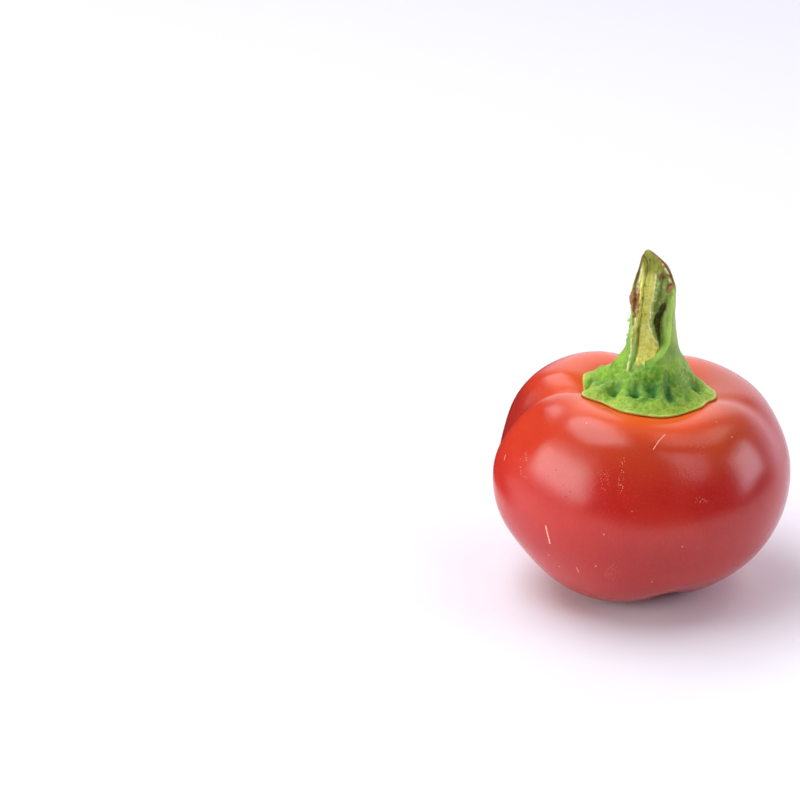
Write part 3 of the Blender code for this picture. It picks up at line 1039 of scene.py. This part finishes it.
# %% Marks on the skin
SCRATCHES = (
    # half-width, strength, then the points of the stroke, all in millimetres
    (0.040, 0.80, ((1.9, -13.9, 28.8), (1.0, -14.9, 28.3), (0.2, -15.9, 27.5))),
    (0.075, 0.85, (
        (-14.1, -14.7, 15.4), (-13.9, -14.8, 14.4), (-13.6, -14.8, 13.5), (-13.5, -14.8, 12.8),
    )),
    (0.045, 0.60, ((-19.5, -5.9, 22.1), (-19.7, -6.1, 21.5))),
    (0.045, 0.50, ((-9.8, -16.3, 9.9), (-9.4, -16.0, 9.0))),
)
SCUFFS = (
    # bands in which the skin is rubbed into fine pale specks
    (0.17, 0.75, (
        (-3.8, -16.6, 26.4), (-4.1, -17.0, 25.7), (-3.9, -17.5, 24.9), (-4.2, -17.8, 24.1),
    )),
    (0.26, 0.65, ((-4.2, -17.8, 24.1), (-4.3, -18.1, 23.4), (-4.2, -18.4, 22.7))),
    (0.16, 0.75, ((-16.7, -9.1, 24.0), (-16.9, -10.0, 23.2))),
    (0.16, 0.75, (
        (-17.5, -9.0, 22.8), (-17.4, -9.6, 21.8), (-17.3, -10.1, 21.0), (-16.6, -11.0, 21.0),
    )),
    (0.28, 0.50, ((6.3, -18.4, 21.1), (7.5, -18.1, 20.9))),
    (0.50, 0.30, ((-5.1, -18.8, 10.9), (-5.4, -18.0, 9.0))),
    (0.45, 0.30, ((-6.6, -17.5, 24.6), (-6.6, -18.1, 23.0))),
    (0.50, 0.22, ((5.8, -14.6, 27.9), (7.0, -15.2, 27.0))),
)
# The larger specks, pale and dark, at millimetres from the foot of the pepper's axis
PALE_DOTS = (
    (0.5, -18.2, 8.5), (-6.4, -19.1, 16.2), (-8.7, -11.5, 29.5), (11.2, -12.3, 27.7),
    (4.3, -19.5, 14.6), (-13.5, -13.7, 10.5), (-12.0, -14.1, 9.0), (-7.3, -18.0, 10.9),
)
DARK_DOTS = (
    (2.5, -19.2, 11.4), (-11.9, -15.4, 21.9), (-12.8, -14.0, 23.5), (-11.0, -16.2, 21.3),
    (-13.9, -13.6, 22.4), (-11.5, -16.1, 20.5),
)
STROKE_SHAKE, STROKE_LEAST = 2.6, 0.3


def on_skin(place):
    """The nearest point of the finished skin, so that a mark never hovers over it."""
    return skin_tree.find_nearest(Vector(place) * MM)[0]


def distance_to_segment(tree, place, start, end):
    start, end = on_skin(start), on_skin(end)
    run = end - start
    offset = vector_maths(tree, "SUBTRACT", {0: place, 1: start})[0]
    dot = vector_maths(tree, "DOT_PRODUCT", {0: offset, 1: run / run.length_squared})["Value"]
    share = add(tree, "ShaderNodeClamp", {"Value": dot}).outputs[0]
    reached = vector_maths(tree, "SCALE", {0: run, "Scale": share})[0]
    return vector_maths(tree, "DISTANCE", {0: offset, 1: reached})["Value"]


def strokes(tree, place, table):
    shaky = cloud(tree, place, 2600.0)
    total = None
    for half_width, strength, points in table:
        nearest = None
        for start, end in zip(points, points[1:]):
            far = distance_to_segment(tree, place, start, end)
            nearest = far if nearest is None else maths(tree, "MINIMUM", nearest, far)
        half = half_width * MM
        uneven = maths(tree, "MULTIPLY_ADD", shaky, half * STROKE_SHAKE, half * STROKE_LEAST)
        mark = times(tree, ramp(tree, maths(tree, "DIVIDE", nearest, uneven), 1.3, 0.6), strength)
        total = mark if total is None else maths(tree, "MAXIMUM", total, mark)
    return total


def dots(tree, place, centres, radius):
    nearest = None
    for centre in centres:
        far = vector_maths(tree, "DISTANCE", {0: place, 1: on_skin(centre)})["Value"]
        nearest = far if nearest is None else maths(tree, "MINIMUM", nearest, far)
    return ramp(tree, nearest, radius, radius * 0.4)


print(len(SCRATCHES), "scratches,", len(SCUFFS), "scuffs and", len(PALE_DOTS + DARK_DOTS), "dots")

# %% [markdown]
# ### The red and its washes
# A mottled red comes first, then the orange ring round the calyx and the flush of the shoulder.
# Painted shade follows: the deep red fold, the darker right flank and the darker belly, where less
# light falls. Every wash sets in along a measure of the skin: its height, its distance from the stem
# or its side. Two of the measures waver with a broad noise, as ripeness does.

# %% The red of the skin
WAVER = 5 * MM
SCAR_TAN = ((196, 160, 92), (120, 78, 44))
SKIN_WASHES = (
    # name, screen levels, strength, then for each measure the millimetres between which it sets in
    ("warm shoulder", (196, 66, 34), 0.85, (("wavy height", 23.0, 31.0),)),
    ("orange ring", (228, 86, 22), 0.95, (("wavy ring", 18.5, 13.5), ("z", 24.0, 28.0))),
    ("brown flush", (188, 80, 26), 0.65, (("x", 5.0, 14.0), ("z", 23.0, 29.0))),
    # painted shade: the right flank is darkened where less light reaches it
    ("right flank shade", (164, 34, 33), 0.60, (("x", 7.0, 18.0),)),
    ("left flank", (198, 52, 32), 0.60, (("x", -8.0, -16.0), ("z", 16.0, 24.0))),
    # painted shade: the back lobe in the left groove, where the front lobe shades it
    ("fold shade", (140, 30, 28), 0.70, (("x", -13.5, -17.5), ("y", -1.5, 2.5), ("z", 29.5, 26.0))),
    # painted shade: the lower half is darker, where less light falls
    ("belly shade", (168, 24, 24), 0.60, (("z", 18.0, 11.0),)),
)


def skin_measures(tree, place, broad):
    x, y, z = outputs_xyz(tree, place)
    squares = [maths(tree, "POWER", side, 2.0) for side in (x, y)]
    ring = maths(tree, "SQRT", maths(tree, "ADD", *squares))
    return {
        "x": x,
        "y": y,
        "z": z,
        "ring": ring,
        "wavy height": maths(tree, "MULTIPLY_ADD", broad, WAVER, z),
        "wavy ring": maths(tree, "MULTIPLY_ADD", broad, WAVER, ring),
    }


def washed_red(tree, mottled, broad, measures):
    red = blend(tree, mottled, colour(182, 34, 33), colour(199, 43, 34))
    red = wash(tree, red, (200, 50, 36), ramp(tree, broad, 0.4, 0.75))
    for _, levels, strength, spans in SKIN_WASHES:
        shares = [ramp(tree, measures[name], low * MM, high * MM) for name, low, high in spans]
        red = wash(tree, red, levels, *shares, strength)
    return red


print("washes over the mottled red:", ", ".join(row[0] for row in SKIN_WASHES))

# %% [markdown]
# ### Marks and gloss
# Rubbed skin breaks into specks, so the scuffs are bands in which the cells of a fine Voronoi
# pattern show. The gloss is that of wax: rather smooth, and bent a little by pores that the Bump
# node adds, for they are too small to be modelled. Marks and the scar are dull.

# %% The skin's material
GLOSS, GLOSS_VARIES = 0.185, 0.06
MARK_DULLNESS, SCAR_DULLNESS = 0.6, 0.8
PORE_DEPTH = 0.03 * MM


def make_skin():
    made, tree, shader, place = new_material("pepper_skin")
    broad = cloud(tree, place, 90.0)
    mottled = cloud(tree, place, 420.0, 4.0)
    measures = skin_measures(tree, place, broad)
    grit = add(tree, "ShaderNodeTexVoronoi", {"Vector": place, "Scale": 5200.0}, feature="F1")
    cells = add(tree, "ShaderNodeTexVoronoi", {"Vector": place, "Scale": 420.0}, feature="F1")
    gritty = specks(tree, grit, (0.45, 0.18), 1, (0.45, 0.60))
    freckled = specks(tree, cells, (0.060, 0.030), 0, (0.80, 0.88))
    rubbed = times(tree, gritty, strokes(tree, place, SCUFFS))
    marks = maths(tree, "MAXIMUM", strokes(tree, place, SCRATCHES), rubbed)
    near_axis = ramp(tree, measures["ring"], 1.5 * MM, 0.6 * MM)
    scar = times(tree, near_axis, ramp(tree, measures["z"], 8 * MM, 6 * MM))

    red = washed_red(tree, mottled, broad, measures)
    red = wash(tree, red, (246, 190, 158), marks)
    red = wash(tree, red, (232, 120, 90), gritty, 0.15)
    red = wash(tree, red, (240, 190, 170), dots(tree, place, PALE_DOTS, 0.13 * MM))
    red = wash(tree, red, (70, 16, 14), dots(tree, place, DARK_DOTS, 0.15 * MM))
    red = wash(tree, red, (244, 160, 130), freckled, 0.6)
    red = blend(tree, scar, red, blend(tree, mottled, *(colour(*levels) for levels in SCAR_TAN)))
    tree.links.new(red, shader.inputs["Base Color"])

    rough = maths(tree, "MULTIPLY_ADD", cloud(tree, place, 300.0), GLOSS_VARIES, GLOSS)
    rough = maths(tree, "MAXIMUM", rough, times(tree, marks, MARK_DULLNESS))
    rough = maths(tree, "MAXIMUM", rough, times(tree, scar, SCAR_DULLNESS))
    tree.links.new(rough, shader.inputs["Roughness"])
    shader.inputs["Specular IOR Level"].default_value = 0.5

    pitted = cloud(tree, place, 1500.0, 3.0)
    pores = maths(tree, "MULTIPLY_ADD", pitted, 2.0, grit.outputs["Distance"])
    height = maths(tree, "SUBTRACT", times(tree, pores, 0.3), marks)
    bump = add(tree, "ShaderNodeBump", {"Height": height, "Strength": 1.0, "Distance": PORE_DEPTH})
    tree.links.new(bump.outputs[0], shader.inputs["Normal"])
    print(made.name, "has", len(tree.nodes), "nodes")
    return made


skin_finish = make_skin()

# %% [markdown]
# ### The green piece's finish
# Calyx and stem are one grown piece, so they have one finish. Its tree reads every mask by its
# name, and has three noises that all the tissues share: a soft one, a fine one, and one that is
# drawn out along the fibres. The next cells build the colours of rind and torn face on these.

# %% Start the green material
green_finish, tree, green_shader, place = new_material("calyx_green")
mask = {
    name: add(tree, "ShaderNodeAttribute", attribute_name=name).outputs["Fac"] for name in MASKS
}
soft = cloud(tree, place, 330.0, 3.0)
fine = cloud(tree, place, 2300.0, 3.0)
streaks = cloud(tree, place, 2600.0, 3.0, stretch=(1.0, 1.0, 0.10))
print("the green finish reads", len(mask), "masks")

# %% [markdown]
# The rind is a fresh, matt green. It is lighter along its veins, its skirt and its thin lip. Its
# crests are lightened as painted highlight, and its hollows and dimples are darkened and blued as
# painted shade. Its rim is red-brown: partly its own dried edge, partly painted shadow where it
# meets the skin. Fine speckles of both break it up, most of all on the cap.

# %% The green of the rind
x, _, z = outputs_xyz(tree, place)
cap, crest_light_and_shade = mask["cap"], mask["crest_light_and_shade"]
wavy_height = maths(tree, "MULTIPLY_ADD", soft, 3 * MM, z)
sides = ramp(tree, maths(tree, "ABSOLUTE", x), 3 * MM, 8 * MM)
speckle = maths(tree, "MULTIPLY_ADD", cap, 0.22, 0.12)
rind = mottle(tree, soft, (0.35, 0.68), (88, 146, 40), (128, 178, 52))
rind = wash(tree, rind, (158, 190, 62), mask["skirt"], 0.55)
# Painted highlight: the crests of the crumples are lightened.
rind = wash(tree, rind, (172, 200, 76), ramp(tree, crest_light_and_shade, 0.50, 0.95), cap, 0.45)
rind = wash(tree, rind, (184, 210, 114), ramp(tree, wavy_height, 35 * MM, 41 * MM), 0.6)
rind = wash(tree, rind, (158, 192, 66), sides, 0.35)
# Painted shade: the hollows between the crumples are darkened.
rind = wash(tree, rind, (58, 124, 40), ramp(tree, crest_light_and_shade, 0.45, 0.1), cap, 0.35)
rind = wash(tree, rind, (196, 210, 100), ramp(tree, fine, 0.50, 0.66), speckle)
rind = wash(tree, rind, (64, 122, 34), ramp(tree, fine, 0.48, 0.34), speckle)
# Painted shade: the dimples, the thread's bed and the strip beside the rind are darkened and blued.
rind = wash(tree, rind, (38, 112, 50), mask["sunk_shade"], 0.8)
rind = wash(tree, rind, (214, 210, 124), mask["lip"], ramp(tree, soft, 0.30, 0.55), 0.8)
# The rim's edge is painted red-brown: partly its own dried edge, partly painted contact shadow.
rind = wash(tree, rind, (186, 84, 36), mask["rim"], 0.8)
print("with the rind the tree has", len(tree.nodes), "nodes")

# %% [markdown]
# The torn face is pale yellow-green pith with streaks along the fibres. The recess beside it is
# olive, the gap under the rind is painted nearly black as its shadow, and the threads are almost
# white, because they dried first. Each tissue is mottled on its own, and its mask then lays it on
# the bare face.

# %% The colours of the torn face
STREAKED = (0.3, 0.7)
bare = mottle(tree, streaks, STREAKED, (134, 146, 46), (186, 184, 84))
pith = mottle(tree, fine, (0.35, 0.65), (208, 210, 92), (234, 234, 128))
pith = wash(tree, pith, (226, 206, 104), ramp(tree, soft, 0.5, 0.8), 0.6)
olive = mottle(tree, streaks, STREAKED, (116, 150, 62), (164, 184, 98))
olive = wash(tree, olive, (206, 210, 138), ramp(tree, fine, 0.52, 0.62), 0.6)
tip = mottle(tree, streaks, STREAKED, (140, 150, 52), (176, 178, 84))
cut_edge = mottle(tree, fine, (0.42, 0.58), (188, 126, 62), (250, 240, 206))
shadow = mottle(tree, fine, (0.4, 0.6), (46, 44, 18), (92, 74, 34))
for name, tissue in (("pith", pith), ("recess", olive), ("tip", tip)):
    bare = blend(tree, mask[name], bare, tissue)
bare = wash(tree, bare, (252, 246, 200), mask["fibre"])
bare = blend(tree, times(tree, mask["cut"], 0.9), bare, cut_edge)
# Painted shadow: the gap under the rind is laid nearly black.
bare = blend(tree, times(tree, mask["gap"], 0.9), bare, shadow)
print("with the torn face the tree has", len(tree.nodes), "nodes")

# %% [markdown]
# Rind and face are blended by the mask of the tear, and the brown patches and outlines lie on both.
# Light enters plant tissue a little before it comes back, so this finish has some subsurface
# scattering. A low Bump gives the grain that is finer than the mesh.

# %% Finish the green material
RIND_DULLNESS, DULLNESS_VARIES, FACE_DULLER = 0.36, 0.25, 0.18
RIND_GRAIN_DEPTH = 0.07 * MM
base = blend(tree, mask["torn"], rind, bare)
base = wash(tree, base, (240, 232, 170), mask["thread"])
brown = mottle(tree, fine, (0.35, 0.65), (104, 62, 30), (182, 124, 80))
base = blend(tree, times(tree, mask["dried"], 0.9), base, brown)
base = wash(tree, base, (120, 76, 34), mask["outline"], 0.85)
tree.links.new(base, green_shader.inputs["Base Color"])

rough = maths(tree, "MULTIPLY_ADD", fine, DULLNESS_VARIES, RIND_DULLNESS)
rough = maths(tree, "MULTIPLY_ADD", mask["torn"], FACE_DULLER, rough)
tree.links.new(rough, green_shader.inputs["Roughness"])
green_shader.inputs["Specular IOR Level"].default_value = 0.25
green_shader.inputs["Subsurface Weight"].default_value = 0.15
green_shader.inputs["Subsurface Radius"].default_value = (0.5, 1.0, 0.2)
green_shader.inputs["Subsurface Scale"].default_value = 0.8 * MM

height = maths(tree, "ADD", times(tree, fine, 0.9), times(tree, streaks, mask["torn"]))
relief = {"Height": height, "Strength": 0.5, "Distance": RIND_GRAIN_DEPTH}
tree.links.new(add(tree, "ShaderNodeBump", relief).outputs[0], green_shader.inputs["Normal"])
print("the whole green tree has", len(tree.nodes), "nodes")

# %% [markdown]
# ## Show the pieces
# Each skin becomes the mesh of an object at the origin, with its finish. It rides on the packed
# body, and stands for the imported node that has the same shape, which is then hidden.

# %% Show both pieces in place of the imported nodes
def put(name, skin, finish):
    mesh = bpy.data.meshes.new(name)
    skin.to_mesh(mesh)
    mesh.materials.append(finish)
    made = bpy.data.objects.new(name, mesh)
    bpy.context.scene.collection.objects.link(made)
    print(name, "has", len(mesh.polygons), "faces")
    return made


def show(name, skin, finish, node):
    piece = put(name, skin, finish)
    piece.data.shade_smooth()
    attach(piece, "root")
    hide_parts(node)


show("fruit_skin", fruit_skin, skin_finish, "fruit")
show("calyx_with_stem", green_skin, green_finish, "calyx_and_stem")

# %% [markdown]
# ## Table and light
# The pepper stands on a plain white table in a plain studio. The highlights on its skin tell where
# the lamps were: a wide box low at the left, a smaller one at the right, and a big soft one
# overhead. The lamps are hidden from the camera, because other views pass close by them, but the
# skin still reflects them. The table ends a hand's breadth in front of the fruit. There the skin
# mirrors the dark part of the room, which gives the deep red band across its middle.

# %% The table
TABLE_RADIUS = 0.104
TABLE_MIDDLE = Vector((-0.016, 0.0, 0.0))
TABLE_RUN = 0.45
TABLE_SPREAD = 2.2


def plain_finish(name, scale, darker, lighter, dullness):
    """A dull finish whose colour drifts a little, given in shares of light."""
    made, tree, shader, place = new_material(name)
    drifting = blend(tree, cloud(tree, place, scale), darker, lighter)
    tree.links.new(drifting, shader.inputs["Base Color"])
    shader.inputs["Roughness"].default_value = dullness
    return made, tree, shader, place


table_top = bmesh.new()
bmesh.ops.create_circle(table_top, cap_ends=True, segments=128, radius=TABLE_RADIUS)
far_half = [vert for vert in table_top.verts if vert.co.y > 0.0]
bmesh.ops.scale(table_top, verts=far_half, vec=(TABLE_SPREAD, 1.0, 1.0))
bmesh.ops.translate(table_top, verts=far_half, vec=(0.0, TABLE_RUN, 0.0))
bmesh.ops.translate(table_top, verts=table_top.verts, vec=TABLE_MIDDLE)
white = plain_finish("white_table", 3.0, (0.84, 0.875, 0.92, 1), (0.87, 0.90, 0.945, 1), 0.7)[0]
put("table_top", table_top, white)

# %% [markdown]
# A dark card stands close by at the left, behind the fruit. Only reflections see it: it keeps the
# pale studio out of the left flank, which stays deep red in the photograph although it is seen
# edge-on.

# %% The dark card
CARD_RADIUS = 46 * MM
CARD_HEIGHT = 42 * MM
CARD_FROM = math.radians(98.0)
CARD_TURN = math.radians(80.0)

card_finish, card_tree, card_shader, card_place = plain_finish(
    "dark_card", 40.0, (0.03, 0.008, 0.008, 1), (0.05, 0.012, 0.01, 1), 0.9
)
card_x, _, card_z = outputs_xyz(card_tree, card_place)
upper_end = ramp(card_tree, card_z, CARD_HEIGHT, 0.5 * CARD_HEIGHT)
far_end = ramp(card_tree, card_x, -5 * MM, -20 * MM)
card_tree.links.new(times(card_tree, upper_end, far_end), card_shader.inputs["Alpha"])

card = bmesh.new()
foot = Vector((CARD_RADIUS * math.cos(CARD_FROM), CARD_RADIUS * math.sin(CARD_FROM), MM))
ends = [card.verts.new(foot), card.verts.new(foot + Vector((0, 0, CARD_HEIGHT)))]
edge = card.edges.new(ends)
bmesh.ops.spin(card, geom=ends + [edge], axis=(0, 0, 1), angle=CARD_TURN, steps=24)
shown_card = put("dark_card", card, card_finish)
shown_card.visible_camera = False
shown_card.visible_diffuse = False
shown_card.visible_shadow = False

# %% [markdown]
# The lamps are rectangles of light, placed by azimuth and elevation as seen from the fruit. A small
# brighter box in front of a large dim one gives a highlight that is crisp at its lower edge and
# soft above, as in the photograph. The strip at the right of the front is a narrow window-like
# light.

# %% The lamps
FAINT_BLUE = (0.88, 0.86, 1.0)
FAINT_PINK = (1.0, 0.93, 1.0)
CEILING = (0.98, 0.96, 1.0)
WARM = (1.0, 0.86, 0.82)
PLAIN = (1.0, 1.0, 1.0)
NEARLY_UPRIGHT = 0.85


def heading(azimuth, elevation):
    turn, tilt = math.radians(azimuth), math.radians(elevation)
    level = math.cos(tilt)
    return Vector((math.cos(turn) * level, math.sin(turn) * level, math.sin(tilt)))


def softbox(name, towards, away, width, height, radiance, tint, roll):
    """A lamp that faces the pepper from a heading, or lies level when it is overhead."""
    lamp = bpy.data.lights.new(name, "AREA")
    lamp.shape = "RECTANGLE"
    lamp.size, lamp.size_y = width, height
    lamp.energy = radiance * math.pi * width * height
    lamp.color = tint
    made = bpy.data.objects.new(name, lamp)
    made.location = AIM + towards * away
    if towards.z < NEARLY_UPRIGHT:
        rolled = Quaternion((0.0, 0.0, 1.0), math.radians(roll))
        made.rotation_euler = (towards.to_track_quat("Z", "Y") @ rolled).to_euler()
    made.visible_camera = False
    bpy.context.scene.collection.objects.link(made)
    print(name, "gives", round(lamp.energy, 2), "W")


LAMPS = (
    # name, heading, distance, width and height in metres, radiance, tint, roll in degrees
    ("left_softbox", heading(200.0, 11.0), 0.60, 0.58, 0.29, 3.9, PLAIN, 0.0),
    ("left_softbox_top", heading(198.0, 17.0), 0.62, 0.62, 0.45, 1.2, PLAIN, 0.0),
    ("right_softbox", heading(352.0, 12.5), 0.65, 0.36, 0.36, 3.1, FAINT_BLUE, 14.0),
    ("right_softbox_top", heading(351.0, 16.0), 0.67, 0.40, 0.46, 1.5, FAINT_BLUE, 14.0),
    ("small_lamp", heading(305.0, 37.0), 0.60, 0.06, 0.32, 4.6, FAINT_PINK, 0.0),
    ("overhead", Vector((-0.44, 0.10, 0.94)), 0.85, 0.58, 1.00, 4.0, CEILING, 0.0),
    # A dim patch of ceiling light lies on the right shoulder.
    ("overhead_right", Vector((0.50, 0.04, 0.94)), 0.85, 0.34, 0.54, 2.1, WARM, 0.0),
)
for row in LAMPS:
    softbox(*row)

# %% [markdown]
# ### The room
# Only the camera sees pure white. The skin and the table see a dark room in front, a bright one
# behind at the right, and a dim one behind at the left, so that the right-hand edge of the fruit
# glows pale and the left-hand edge stays deep red, as in the photograph.

# %% The room's light
DARK_FRONT = (0.02, 0.02, 0.024, 1)
DIM_BACK = (0.33, 0.31, 0.35, 1)
PATCHES = (
    # towards, full within and gone beyond so many degrees, then its light
    (heading(50.0, 2.0), 18.0, 36.0, (1.40, 1.25, 1.5, 1)),
    (heading(88.0, 20.0), 14.0, 37.0, (1.45, 1.35, 1.45, 1)),
    (heading(145.0, 0.0), 32.0, 46.0, (0.10, 0.05, 0.05, 1)),
)

world = bpy.data.worlds.new("room")
bpy.context.scene.world = world
world.use_nodes = True
sky = world.node_tree
sky.nodes.clear()
direction = add(sky, "ShaderNodeTexCoord").outputs["Generated"]
light = blend(sky, ramp(sky, outputs_xyz(sky, direction)[1], -0.15, 0.4), DARK_FRONT, DIM_BACK)
for towards, inner, outer, level in PATCHES:
    dot = vector_maths(sky, "DOT_PRODUCT", {0: direction, 1: towards})["Value"]
    limits = [math.cos(math.radians(angle)) for angle in (outer, inner)]
    light = blend(sky, ramp(sky, dot, *limits), light, level)
room = add(sky, "ShaderNodeBackground", {"Color": light})
paper = add(sky, "ShaderNodeBackground", {"Color": (1, 1, 1, 1)})
to_camera = add(sky, "ShaderNodeLightPath").outputs["Is Camera Ray"]
both = add(sky, "ShaderNodeMixShader", {0: to_camera, 1: room.outputs[0], 2: paper.outputs[0]})
add(sky, "ShaderNodeOutputWorld", {0: both.outputs[0]})
bpy.context.scene.view_settings.view_transform = "Standard"
print("the room has", len(PATCHES), "patches of its own light")
